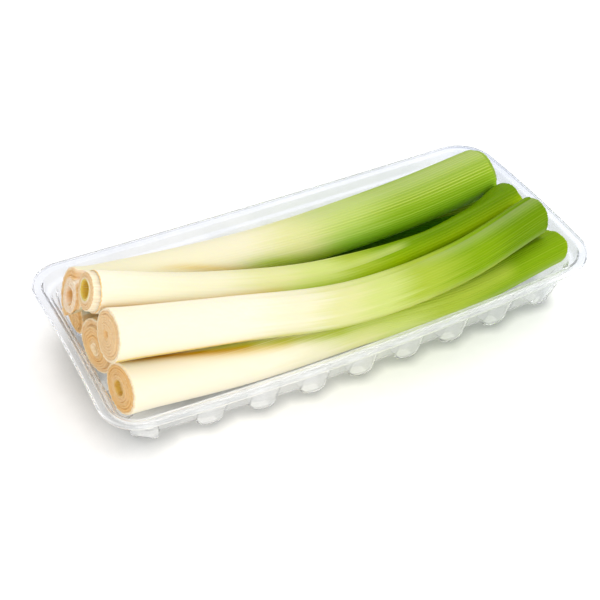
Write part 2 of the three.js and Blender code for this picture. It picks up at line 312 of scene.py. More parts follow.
# One lengthwise band of another tone, with soft sides and ends
def makeBandGroup():
    group, given, out = startGroup(
        "toneBand",
        [("Turn", 0), ("Place", 0), ("Centre", 0.25), ("Width", 0.03), ("Start", 0.3), ("End", 1)],
        ["Mask"],
    )
    away = calc(group, "DIVIDE", calc(group, "SUBTRACT", given["Turn"], given["Centre"]), given["Width"])
    across = calc(group, "EXPONENT", times(group, times(group, away, away), -1.0))
    fullFrom = plus(group, given["Start"], patterns["bandFadeIn"])
    fadeFrom = calc(group, "SUBTRACT", given["End"], patterns["bandFadeOut"])
    begun = between(group, given["Place"], given["Start"], fullFrom)
    left = between(group, given["Place"], fadeFrom, given["End"], 1.0, 0.0)
    return putOut(group, out, Mask=times(group, across, times(group, begun, left)))


# Growth rings of a cut face, wobbling and off centre
def makeRingGroup():
    group, given, out = startGroup(
        "cutRings",
        [("Turn", 0), ("Share", 0), ("Seed", 0), ("Count", 7), ("Wobble", 0.1)],
        ["Reach", "Ring", "Ray", "Mottle"],
    )
    angle = times(group, given["Turn"], 2 * math.pi)
    cosine, sine = calc(group, "COSINE", angle), calc(group, "SINE", angle)
    x = times(group, cosine, given["Share"])
    y = times(group, sine, given["Share"])
    place = join(group, x, y, given["Seed"])
    ray = noiseAt(group, join(group, cosine, sine, given["Seed"]), patterns["rayScale"], 3.0, 0.6)
    drift = centred(group, noiseAt(group, place, patterns["driftScale"], 1.0))
    reach = plus(group, given["Share"], times(group, drift, given["Wobble"]))
    phase = times(group, times(group, reach, given["Count"]), 2 * math.pi)
    wave = plus(group, times(group, calc(group, "SINE", phase), 0.5), 0.5)
    patch = between(group, noiseAt(group, place, patterns["patchScale"], 1.0), 0.4, 0.6)
    ring = times(group, calc(group, "POWER", wave, patterns["ringPower"]), patch)
    mottle = noiseAt(group, place, patterns["mottleScale"], 4.0, 0.65)
    return putOut(group, out, Reach=reach, Ring=ring, Ray=ray, Mottle=mottle)


veinGroup = makeVeinGroup()
bandGroup = makeBandGroup()
ringGroup = makeRingGroup()
print("node groups made")

# Tones of the skin, as linear colour. Amber, gold, olive, the reddish brown, shadeGreen, darkGreen and
# brightGreen serve only for bands of painted shade and painted light
tones = {
    "ivory": (0.84, 0.78, 0.61),
    "buff": (0.755, 0.71, 0.505),
    "cream": (0.75, 0.715, 0.50),
    "straw": (0.65, 0.645, 0.30),
    "paleLime": (0.55, 0.61, 0.19),
    "lime": (0.37, 0.46, 0.045),
    "green": (0.21, 0.34, 0.002),
    "deepGreen": (0.14, 0.25, 0.0),
    "paleVein": (0.50, 0.58, 0.11),
    "greyGreen": (0.42, 0.50, 0.20),
    "amber": (0.72, 0.38, 0.06),
    # painted shadow: the dark reddish brown of the shade where one leek rests on another
    "contactShadowBrown": (0.55, 0.24, 0.0),
    "olive": (0.36, 0.40, 0.0),
    "shadeGreen": (0.22, 0.50, 0.0),
    "brightGreen": (0.38, 0.54, 0.0),
    "gold": (0.66, 0.42, 0.0),
    "darkGreen": (0.04, 0.20, 0.0),
}


def startMaterial(name):
    material = bpy.data.materials.new(name)
    material.use_nodes = True
    tree = material.node_tree
    shader = tree.nodes["Principled BSDF"]
    return material, tree, shader


def leekMapOf(tree):
    place = addNode(tree, "ShaderNodeUVMap", uv_map="leekMap").outputs["UV"]
    split = addNode(tree, "ShaderNodeSeparateXYZ", {"Vector": place})
    return split.outputs["X"], split.outputs["Y"]


# An angle in degrees, counted on from the seam, as a share of a turn
def turnShare(angle, seam):
    return (seam + (angle - seam) % 360) / 360


# The middle of a band, as a share of a turn. Its angle runs from the first to the last along it.
def bandMiddle(tree, place, angles, start, end, seam):
    last = turnShare(angles[1], seam)
    first = last + (angles[0] - angles[1]) / 360
    return between(tree, place, start, end, first, last)


# The mask varies the roughness between its two values
def finishMaterial(tree, shader, colour, finish, mask, height):
    bump = addNode(tree, "ShaderNodeBump", {
        "Height": height, "Strength": finish["bumpStrength"], "Distance": finish["bumpDepth"],
    })
    fill(tree, shader, {
        "Base Color": colour,
        "Roughness": between(tree, mask, 0.2, 0.8, *finish["roughness"]),
        "Normal": bump.outputs["Normal"],
        "Specular IOR Level": finish["specular"],
        "Subsurface Weight": finish["glow"],
        "Subsurface Radius": finish["glowTone"],
        "Subsurface Scale": finish["glowDepth"],
    })


skinFinish = {
    "veinTint": (0.62, 0.80, 0.24, 1),
    "roughness": (0.34, 0.48),
    "bumpStrength": 0.5,
    "bumpDepth": 0.00025,
    "specular": 0.03,
    "glow": 0.2,
    "glowTone": (1.0, 0.7, 0.2),
    "glowDepth": 0.003,
}


def makeSkin(name, leek):
    look = leek["skin"]
    material, tree, shader = startMaterial(name)
    turn, place = leekMapOf(tree)
    veins = useGroup(tree, veinGroup, {
        "Turn": turn, "Place": place, "Seed": leek["seed"] * 0.37, "Ribs": look["ribs"],
    })
    wander = times(tree, centred(tree, veins["Streak"]), look["wander"][0])
    flick = times(tree, centred(tree, veins["Thread"]), look["wander"][1])
    along = plus(tree, place, plus(tree, wander, flick))
    colour = ramp(tree, along, [(at, tones[tone]) for at, tone in look["stops"]])

    grown = between(tree, place, *look["veinPlaces"])
    ribMask = times(tree, veins["Rib"], between(tree, veins["Thread"], 0.35, 0.62))
    dark = times(tree, calc(tree, "SUBTRACT", 1.0, ribMask), grown)
    dark = times(tree, dark, look["veinDark"])
    colour = blend(tree, dark, colour, skinFinish["veinTint"], "MULTIPLY")
    light = times(tree, ribMask, times(tree, grown, look["veinLight"]))
    colour = blend(tree, light, colour, (*tones["paleVein"], 1))
    # Bands of other tones; most are painted shade where the leeks touch or lie in shade, or painted light on lit
    # sides
    for angles, width, start, end, strength, tone in look["bands"]:
        band = useGroup(tree, bandGroup, {
            "Turn": turn, "Place": place, "Width": width / 360, "Start": start, "End": end,
            "Centre": bandMiddle(tree, place, angles, start, end, leek["seam"]),
        })["Mask"]
        textured = times(tree, band, between(tree, veins["Thread"], 0.2, 0.6, 0.6, 1.0))
        colour = blend(tree, times(tree, textured, strength), colour, (*tones[tone], 1))
    relief = times(tree, veins["Height"], between(tree, place, 0.1, 0.75, 0.25, 1.0))
    finishMaterial(tree, shader, colour, skinFinish, veins["Thread"], relief)
    return material


# Tones of the cut root faces
rootTones = {
    "tan": (0.82, 0.57, 0.30),
    "orangeTan": (0.80, 0.48, 0.17),
    "paleEdge": (0.94, 0.84, 0.63),
    "pinkWhite": (0.93, 0.79, 0.63),
    "ochre": (0.60, 0.37, 0.01),
    "gold": (0.72, 0.50, 0.03),
    "limeCore": (0.72, 0.64, 0.17),
    "brown": (0.52, 0.32, 0.10),
}
rootFinish = {
    "ringTint": (0.80, 0.62, 0.40, 1),
    "rayTint": (0.80, 0.66, 0.46, 1),
    "slitWidth": 0.03,
    "roughness": (0.42, 0.62),
    "bumpStrength": 0.6,
    "bumpDepth": 0.0004,
    "specular": 0.3,
    "glow": 0.15,
    "glowTone": (1.0, 0.6, 0.3),
    "glowDepth": 0.0015,
}


def makeRootFace(name, leek):
    look = leek["rootLook"]
    material, tree, shader = startMaterial(name)
    turn, share = leekMapOf(tree)
    rings = useGroup(tree, ringGroup, {
        "Turn": turn, "Share": share, "Seed": leek["seed"] * 0.53,
        "Count": look["rings"], "Wobble": look["wobble"],
    })
    fray = times(tree, centred(tree, rings["Ray"]), look["fray"])
    stops = [(at, rootTones[tone]) for at, tone in look["stops"]]
    colour = ramp(tree, plus(tree, rings["Reach"], fray), stops, "LINEAR")
    ringShade = times(tree, rings["Ring"], look["ringDepth"])
    colour = blend(tree, ringShade, colour, rootFinish["ringTint"], "MULTIPLY")
    streak = between(tree, rings["Ray"], 0.42, 0.62, 0.0, look["rays"])
    colour = blend(tree, streak, colour, rootFinish["rayTint"], "MULTIPLY")
    blotch = between(tree, rings["Mottle"], 0.35, 0.7, 0.0, 0.4)
    colour = blend(tree, blotch, colour, (*rootTones[look["mottle"]], 1))
    fleck = between(tree, rings["Mottle"], 0.42, 0.3, 0.0, 0.4)
    colour = blend(tree, fleck, colour, (*rootTones["paleEdge"], 1))
    if leek["root"]["notch"] > 0:
        slit = useGroup(tree, bandGroup, {
            "Turn": turn, "Place": share, "Width": rootFinish["slitWidth"], "Start": 0.5, "End": 1.2,
            "Centre": turnShare(leekForm["notchAngle"], leek["seam"]),
        })["Mask"]
        colour = blend(tree, slit, colour, (*rootTones["pinkWhite"], 1))
    finishMaterial(tree, shader, colour, rootFinish, rings["Mottle"], rings["Mottle"])
    return material


cutFinish = {
    "rings": 16,
    "wobble": 0.03,
    "roughness": (0.38, 0.55),
    "bumpStrength": 0.4,
    "bumpDepth": 0.0003,
    "specular": 0.5,
    "glow": 0.1,
    "glowTone": (1.0, 0.8, 0.3),
    "glowDepth": 0.0015,
}


def makeCutGreen(name, leek, inside):
    material, tree, shader = startMaterial(name)
    turn, share = leekMapOf(tree)
    rings = useGroup(tree, ringGroup, {
        "Turn": turn, "Share": share, "Seed": leek["seed"] * 0.71,
        "Count": cutFinish["rings"], "Wobble": cutFinish["wobble"],
    })
    outer, inner = ("green", "lime") if inside else ("lime", "paleLime")
    stops = [(0.0, tones["straw"]), (0.35, tones[inner]), (0.9, tones[outer])]
    colour = ramp(tree, rings["Reach"], stops)
    blotch = between(tree, rings["Mottle"], 0.3, 0.7, 0.0, 0.5)
    colour = blend(tree, blotch, colour, (*tones["green"], 1))
    finishMaterial(tree, shader, colour, cutFinish, rings["Mottle"], rings["Mottle"])
    return material


# The leeks, in metres in the tray's frame, on the same curves and radii as the solids. Angles count
# from the back over the top. Places along a leek run from 0 at the root to 1 at the green end. Each
# set of waves has its lowest and highest count round the leek, and its size.
leekForm = {
    "sides": 270,
    "placeRuns": [(0.006, 0.08, 10), (0.095, 0.94, 62), (0.95, 0.998, 8)],  # from, to, how many rings
    "flareLength": 0.03,
    "twist": 2.5,
    "twistRate": 7,
    "ribDepth": 0.00016,
    "ribStart": 0.3,
    "ribFull": 0.8,
    "ribWaves": (5, 19, 0.8),
    "ribLimits": (0.15, 2),
    "keelStart": 0.4,
    "keelRidge": 0.0005,
    "keelWidth": 16,
    "seamAtRoot": 0.00032,
    "seamAtTip": 0.0008,
    "seamSoftness": 0.03,  # share of a turn over which the outer leaf's edge steps down
    "chamfer": 0.0007,
    "notchAngle": 94,
    "notchSpread": 10,
    "tearAngle": 222,  # where the outer sheath is torn off beside the root face
    "tearSpread": 84,
    "tearEnd": 0.12,
    "rootReach": 0.08,  # how far along the shaft the slanted cut is evened out
    "rootRagged": (12, 40, 0.00012),
    "rootOval": (2, 4, 0.05),
    "rootEdge": (6, 24, 0.00007),
    "layerShape": [(0, -0.00022), (0.16, 0), (0.72, 0.00006), (0.88, -0.0004)],  # share of a layer, rise
    "layerJitter": 0.0002,
    "tipReach": 0.05,
    "tipBend": (2, 5, 0.0003),
    "tipFray": (20, 60, 0.00013),
    "leafCount": 7,
    "leafReach": 0.9,  # the leaves take up this share of the radius
    "leafGap": 0.022,  # as a share of the radius
    "leafDepth": 0.009,
    "leafShift": 0.22,
    "leafFold": 0.3,
    "leafJitter": 0.0009,
    "leafFray": (20, 60, 0.00008),
    "leafBend": (1, 3, 0.0005),
}
# The two leeks of which only the root end shows share one skin, apart from its bands
lowSkin = {
    "ribs": 50, "wander": (0.14, 0.05), "veinPlaces": (0.4, 0.8), "veinDark": 0.5, "veinLight": 0.4,
    "stops": [(0.0, "ivory"), (0.25, "cream"), (0.42, "straw"), (0.54, "paleLime"), (0.68, "lime"),
              (0.9, "green")],
}
# What most root ends have; a leek's own values replace them
plainRoot = {"notch": 0, "tear": 0, "sheathInner": 0.775, "sheathLayers": 2}
# A band has its first and last angle, its width in degrees, its start, end and strength, and a tone
leeks = {}
leeks["leek_rear"] = {
    "seed": 11,
    "ends": (-0.135, 0.126),
    "across": [0.0259, 0.0246, 0.0213, 0.0205, 0.0245],
    "lift": [0.0483, 0.0426, 0.0409, 0.0434, 0.0466],
    "radii": [0.0134, 0.0130, 0.0154, 0.0164],
    "flat": 0.05, "keel": 100, "seam": 262, "innerLeaves": 0.0026, "flare": 0.0012,
    "root": {
        **plainRoot, "coreRise": 0.0008, "hollow": 0.005, "sheathBack": 0.0003, "notch": 0.005,
        "slant": (0.05, 0.25), "coreShift": (-0.1, 0.0), "sheathInner": 0.7, "hollowShare": 0.33,
        "tear": 0.0048,
    },
    "tip": (0.12, 0.14), "slot": "leek_green",
    "skin": {
        "ribs": 58, "wander": (0.16, 0.05), "veinPlaces": (0.46, 0.8), "veinDark": 0.85, "veinLight": 0.8,
        # Painted light and shade: a paler grey-green along the lit top, partly bloom and partly painted sheen;
        # painted shade on the underside, warm near the root and along the lower edge; a brighter green painted
        # into the shaded lower edge
        "bands": [((85, 85), 32, 0.45, 1.2, 0.6, "greyGreen"), ((208, 208), 54, 0.5, 1.2, 1.0, "shadeGreen"),
                  ((245, 245), 35, -0.2, 0.2, 0.8, "amber"), ((122, 197), 10, 0.14, 0.48, 0.5, "gold"),
                  ((168, 208), 22, 0.32, 0.62, 0.85, "brightGreen")],
        "stops": [(0.0, "buff"), (0.36, "buff"), (0.5, "straw"), (0.62, "paleLime"), (0.76, "lime"),
                  (0.9, "lime")],
    },
    "rootLook": {
        "rings": 5, "wobble": 0.15, "ringDepth": 0.5, "rays": 0.3, "fray": 0.05, "mottle": "orangeTan",
        "stops": [(0.0, "brown"), (0.34, "orangeTan"), (0.37, "pinkWhite"), (0.6, "pinkWhite"),
                  (0.7, "orangeTan"), (0.92, "tan"), (1.0, "paleEdge")],
    },
}
leeks["leek_upper"] = {
    "seed": 23,
    "ends": (-0.1323, 0.129),
    "across": [0.0052, -0.0030, -0.0143, -0.0145, -0.0031],
    "lift": [0.0663, 0.0461, 0.0391, 0.0425, 0.0437],
    "radii": [0.0111, 0.0120, 0.0119, 0.0132],
    "flat": 0.14, "keel": 150, "seam": 120, "innerLeaves": 0.0004, "flare": 0.0002,
    "press": {"angle": 42, "spread": 100, "start": (0.5, 0.8), "end": (0.9, 0.99), "depth": 0.0045},
    "root": {
        **plainRoot, "coreRise": 0.0006, "hollow": 0.005, "sheathBack": 0.0032,
        "slant": (-0.07, 0.03), "coreShift": (0.15, 0.1), "sheathInner": 0.93, "sheathLayers": 1,
        "hollowShare": 0.4,
    },
    "tip": (0, 0), "slot": "leek_pale",
    "skin": {
        "ribs": 46, "wander": (0.12, 0.04), "veinPlaces": (0.35, 0.8), "veinDark": 0.4, "veinLight": 0.12,
        # Painted light and shade: a pale band along the ridge, partly the leaf's own paler colour and partly
        # painted highlight; a brighter green painted on the lower half, whose top lies in leek_rear's shadow;
        # painted warm shade along the lower edge near the root
        "bands": [((114, 114), 17, 0.40, 0.70, 0.6, "paleLime"), ((156, 156), 26, 0.60, 1.2, 0.6, "brightGreen"),
                  ((205, 145), 12, -0.2, 0.42, 0.5, "amber"), ((151, 155), 22, 0.32, 0.7, 0.75, "brightGreen")],
        "stops": [(0.0, "ivory"), (0.24, "cream"), (0.38, "straw"), (0.485, "paleLime"), (0.57, "lime"),
                  (0.645, "green"), (0.755, "deepGreen")],
    },
    "rootLook": {
        "rings": 6, "wobble": 0.06, "ringDepth": 0.4, "rays": 0.05, "fray": 0.02, "mottle": "tan",
        "stops": [(0.0, "brown"), (0.3, "brown"), (0.37, "ochre"), (0.43, "gold"), (0.5, "limeCore"),
                  (0.55, "paleEdge"), (0.64, "tan"), (0.86, "tan"), (0.9, "paleEdge"),
                  (0.95, "paleEdge"), (1.0, "orangeTan")],
    },
}
leeks["leek_front"] = {
    "seed": 37,
    "ends": (-0.1315, 0.1265),
    "across": [-0.0197, -0.0291, -0.0412, -0.0422, -0.0297],
    "lift": [0.0566, 0.0489, 0.0444, 0.0471, 0.0514],
    "radii": [0.0136, 0.0120, 0.0123, 0.0132],
    "flat": 0.12, "keel": 95, "seam": 75, "innerLeaves": 0, "flare": 0.0005,
    "root": {
        **plainRoot, "coreRise": 0.0004, "hollow": 0.0015, "sheathBack": 0.0004,
        "slant": (-0.15, 0.13), "coreShift": (0.1, 0.0), "hollowShare": 0.12,
    },
    "tip": (0, 0), "slot": "leek_pale",
    "skin": {
        "ribs": 50, "wander": (0.14, 0.05), "veinPlaces": (0.4, 0.85), "veinDark": 0.3, "veinLight": 0.14,
        # Partly painted light and shade: grey-green along the top near the green end, partly bloom and partly
        # painted sheen; gold and olive paint the warm shade along the lower edge, where it rests on
        # leek_low_front
        "bands": [((82, 82), 20, 0.6, 1.2, 0.35, "greyGreen"), ((208, 208), 15, 0.6, 1.2, 0.35, "greyGreen"),
                  ((210, 210), 22, 0.25, 0.7, 0.6, "paleLime"), ((205, 205), 18, -0.2, 0.42, 0.2, "gold"),
                  ((216, 216), 9, -0.2, 0.32, 0.9, "gold"), ((214, 214), 13, 0.22, 0.9, 0.4, "olive")],
        "stops": [(0.0, "ivory"), (0.26, "ivory"), (0.38, "cream"), (0.47, "straw"), (0.56, "paleLime"),
                  (0.66, "lime"), (0.80, "green"), (0.92, "deepGreen")],
    },
    "rootLook": {
        "rings": 6, "wobble": 0.1, "ringDepth": 0.25, "rays": 0.25, "fray": 0.14, "mottle": "tan",
        "stops": [(0.0, "ochre"), (0.1, "orangeTan"), (0.24, "tan"), (0.88, "tan"), (0.96, "paleEdge")],
    },
}
leeks["leek_low_front"] = {
    "seed": 41,
    "ends": (-0.1305, 0.1365),
    "across": [-0.0290, -0.0315, -0.0343, -0.0398, -0.0397],
    "lift": [0.0265, 0.0202, 0.0198, 0.0208, 0.0320],
    "radii": [0.0137, 0.0138, 0.0123, 0.0119],
    "flat": 0.1, "keel": 130, "seam": 60, "innerLeaves": 0.0003, "flare": 0.0005,
    "root": {
        **plainRoot, "coreRise": 0.0005, "hollow": 0.003, "sheathBack": 0.0002,
        "slant": (-0.16, 0.11), "coreShift": (0.08, 0.0), "hollowShare": 0.26,
    },
    "tip": (0.2, -0.28), "slot": "leek_green",
    "skin": {
        "ribs": 52, "wander": (0.12, 0.05), "veinPlaces": (0.4, 0.8), "veinDark": 0.35, "veinLight": 0.15,
        # Painted shade: gold, a dark reddish-brown line, olive and a deeper lime along the top, where leek_front
        # rests on it and shades it
        "bands": [((50, 125), 13, -0.12, 0.38, 0.6, "gold"), ((41, 107), 9, -0.12, 0.30, 1.0, "contactShadowBrown"),
                  ((76, 142), 13, 0.1, 0.5, 0.85, "olive"), ((136, 124), 30, 0.36, 0.9, 0.9, "lime"),
                  ((192, 192), 14, 0.5, 1.2, 0.3, "greyGreen")],
        "stops": [(0.0, "ivory"), (0.28, "ivory"), (0.41, "cream"), (0.50, "straw"), (0.59, "paleLime"),
                  (0.71, "lime"), (0.86, "green")],
    },
    "rootLook": {
        "rings": 8, "wobble": 0.08, "ringDepth": 0.8, "rays": 0.15, "fray": 0.08, "mottle": "orangeTan",
        "stops": [(0.0, "brown"), (0.12, "ochre"), (0.2, "tan"), (0.26, "ochre"), (0.36, "tan"),
                  (0.86, "orangeTan"), (0.97, "paleEdge")],
    },
}
leeks["leek_low_rear"] = {
    "seed": 53,
    "ends": (-0.131, 0.130),
    "across": [0.038, 0.040, 0.0385, 0.034, 0.027],
    "lift": [0.0238, 0.0195, 0.0185, 0.018, 0.0175],
    "radii": [0.0118, 0.0128, 0.0124, 0.0118],
    "flat": 0.1, "keel": 70, "seam": 150, "innerLeaves": 0.001, "flare": 0.0007,
    "root": {
        **plainRoot, "coreRise": 0.0005, "hollow": 0.001, "sheathBack": 0.0006, "notch": 0.0015,
        "slant": (0.0, 0.03), "coreShift": (0.0, 0.05), "hollowShare": 0.12,
    },
    "tip": (0, 0), "slot": "leek_pale",
    # Painted shade: amber near the root, and dark green on the part seen through the shaded gap between
    # leek_rear and leek_upper
    "skin": {**lowSkin, "bands": [
        ((155, 155), 40, -0.2, 0.12, 0.6, "amber"),
        ((175, 175), 60, 0.5, 1.2, 1.0, "darkGreen"),
    ]},
    "rootLook": {
        "rings": 6, "wobble": 0.1, "ringDepth": 0.25, "rays": 0.8, "fray": 0.05, "mottle": "orangeTan",
        "stops": [(0.0, "orangeTan"), (0.2, "tan"), (0.9, "orangeTan"), (1.0, "paleEdge")],
    },
}
leeks["leek_low_middle"] = {
    "seed": 67,
    "ends": (-0.131, 0.129),
    "across": [0.003, 0.007, 0.002, -0.007, -0.016],
    "lift": [0.029, 0.020, 0.0185, 0.018, 0.0175],
    "radii": [0.015, 0.0134, 0.0122, 0.0118],
    "flat": 0.1, "keel": 60, "seam": 20, "innerLeaves": 0.0006, "flare": 0.0005,
    "root": {
        **plainRoot, "coreRise": 0.001, "hollow": 0.002, "sheathBack": 0.0005,
        "slant": (-0.12, 0.03), "coreShift": (-0.05, -0.12), "hollowShare": 0.14,
    },
    "tip": (0, 0), "slot": "leek_pale",
    # Painted shade: amber on the top near the root, where it lies in shade under the leeks above
    "skin": {**lowSkin, "bands": [((90, 90), 50, -0.2, 0.2, 0.9, "amber")]},
    "rootLook": {
        "rings": 9, "wobble": 0.1, "ringDepth": 0.7, "rays": 0.2, "fray": 0.06, "mottle": "tan",
        "stops": [(0.0, "brown"), (0.1, "ochre"), (0.16, "paleEdge"), (0.26, "tan"), (0.4, "orangeTan"),
                  (0.9, "tan"), (1.0, "paleEdge")],
    },
}


# A cubic step from the first value to the second, with the slopes at its ends
def curveStep(first, second, leave, arrive, weight):
    return (
        first
        + leave * weight
        + (3 * (second - first) - 2 * leave - arrive) * weight**2
        + (2 * (first - second) + leave + arrive) * weight**3
    )


# A point on the centripetal Catmull-Rom curve through evenly spaced points, as the solids use
def pathPoint(leek, place):
    count = len(leek["across"])
    xs = np.linspace(leek["ends"][0], leek["ends"][1], count)
    points = [Vector((x, y, z)) for x, y, z in zip(xs, leek["across"], leek["lift"])]
    step = min(int(place * (count - 1)), count - 2)
    weight = place * (count - 1) - step
    first, second = points[step], points[step + 1]
    before = points[step - 1] if step > 0 else first * 2 - second
    after = points[step + 2] if step + 2 < count else second * 2 - first
    gaps = [math.sqrt((b - a).length) for a, b in ((before, first), (first, second), (second, after))]
    leave = (first - before) / gaps[0] - (second - before) / (gaps[0] + gaps[1]) + (second - first) / gaps[1]
    arrive = (second - first) / gaps[1] - (after - first) / (gaps[1] + gaps[2]) + (after - second) / gaps[2]
    return curveStep(first, second, leave * gaps[1], arrive * gaps[1], weight)


# The uniform Catmull-Rom curve through the radii
def roundRadius(leek, place):
    radii = leek["radii"]
    last = len(radii) - 1
    step = min(int(place * last), last - 1)
    weight = place * last - step
    first, second = radii[step], radii[step + 1]
    before = radii[max(0, step - 1)]
    after = radii[min(last, step + 2)]
    return curveStep(first, second, (second - before) / 2, (after - first) / 2, weight)


# A smooth wave round the leek, from a few seeded sines
def waves(angles, random, lowest, highest, amount):
    total = np.zeros_like(angles)
    for count in range(lowest, highest + 1):
        total += math.sin(random.uniform(0, 2 * math.pi)) * np.cos(count * angles)
        total += math.sin(random.uniform(0, 2 * math.pi)) * np.sin(count * angles)
    return amount * total / math.sqrt(highest - lowest + 1)


# How far angles lie from a middle one, as a share of half the spread
def asideShare(angles, middle, spread):
    return np.sin((angles - math.radians(middle)) / 2) / math.sin(math.radians(spread / 4))


# How far a leek is pressed in by its neighbour at a place
def pressedDepth(press, place, angles):
    if not press:
        return 0
    aside = asideShare(angles, press["angle"], press["spread"])
    lengthwise = smoothShare(place, *press["start"]) * (1 - smoothShare(place, *press["end"]))
    return press["depth"] * lengthwise * np.exp(-(aside**4))


def shaftRadius(leek, place, angles, fromSeam, ribSize):
    form = leekForm
    keelShare = smoothShare(place, form["keelStart"], 1)
    ribShare = smoothShare(place, form["ribStart"], form["ribFull"])
    flare = leek["flare"] * math.exp(-((place / form["flareLength"]) ** 2))
    fromKeel = angles - math.radians(leek["keel"])
    aside = (fromKeel + math.pi) % (2 * math.pi) - math.pi
    seamStep = form["seamAtRoot"] + (form["seamAtTip"] - form["seamAtRoot"]) * keelShare
    ridge = form["keelRidge"] * keelShare * np.exp(-((aside / math.radians(form["keelWidth"])) ** 2))
    rib = ribSize * form["ribDepth"] * ribShare * (0.5 - 0.5 * np.cos(leek["skin"]["ribs"] * fromSeam))
    radius = (roundRadius(leek, place) + flare) * (1 - leek["flat"] * keelShare * np.sin(fromKeel) ** 2)
    turned = fromSeam / (2 * math.pi)
    wrap = seamStep * (1 - turned + smoothShare(turned, 1 - form["seamSoftness"], 1))
    fromTear = asideShare(angles, form["tearAngle"], form["tearSpread"])
    tearShare = 1 - smoothShare(place, form["tearEnd"] / 2, form["tearEnd"])
    tear = leek["root"]["tear"] * np.exp(-(fromTear**6)) * tearShare
    press = pressedDepth(leek.get("press"), place, angles)
    return radius - wrap - tear - press - rib + ridge - form["keelRidge"] * keelShare * 0.5


# The root face from its rim to the hollow core: (share of the radius, rise out of the face)
def rootProfile(leek, random):
    root = leek["root"]
    sheathInner, hollowShare = root["sheathInner"], root["hollowShare"]
    middle = (sheathInner + hollowShare) / 2
    layers = [
        (0.975, sheathInner, -root["sheathBack"], root["sheathLayers"]),
        (sheathInner - 0.02, middle, root["coreRise"] * 0.6, 3),
        (middle - 0.015, hollowShare + 0.03, root["coreRise"], 3),
    ]
    profile = [(0.995, -0.00028 - root["sheathBack"]), (0.985, -0.00006 - root["sheathBack"])]
    for outer, inner, rise, parts in layers:
        width = (outer - inner) / parts
        for part in range(parts):
            top = rise + leekForm["layerJitter"] * random.uniform(-1, 1)
            start = outer - part * width
            profile += [(start - share * width, top + step) for share, step in leekForm["layerShape"]]
        profile.append((inner - 0.008, rise - 0.0007))
    floor = root["coreRise"] - root["hollow"]
    profile += [
        (hollowShare + 0.01, floor * 0.3),
        (hollowShare - 0.005, floor * 0.8),
        (hollowShare * 0.85, floor),
        (hollowShare * 0.4, floor + 0.0003),
        (hollowShare * 0.12, floor),
    ]
    return profile


# The cut green end: (share, rise, sideways shift in leaf widths, is it inside a gap)
def leafProfile(leek, random):
    form = leekForm
    width = form["leafReach"] / form["leafCount"]
    gap, depth, jitter = form["leafGap"], form["leafDepth"], form["leafJitter"]
    profile = [(0.988, 0.00012, 0, False)]
    side = 0
    for leaf in range(form["leafCount"]):
        outer = 1 - leaf * width
        inner = outer - width + gap
        rise = 0 if leaf == 0 else leek["innerLeaves"] + random.uniform(-jitter, jitter)
        nextSide = 0.42 if side == 0 else 0
        if leaf > 0:
            profile += [(outer, rise - 0.0004, side, True), (outer - 0.01, rise, side, False)]
        profile += [(inner + 0.012, rise, nextSide, False), (inner, rise - 0.0003, nextSide, False)]
        if leaf < form["leafCount"] - 1:
            profile += [
                (inner - 0.003, rise - depth * 0.5, nextSide, True),
                (inner - 0.006, rise - depth, nextSide, True),
                (inner - gap + 0.006, rise - depth, nextSide, True),
                (inner - gap + 0.003, rise - depth * 0.5, nextSide, True),
            ]
        side = nextSide
    profile += [(0.06, profile[-1][1] - 0.0006, side, False)]
    return profile


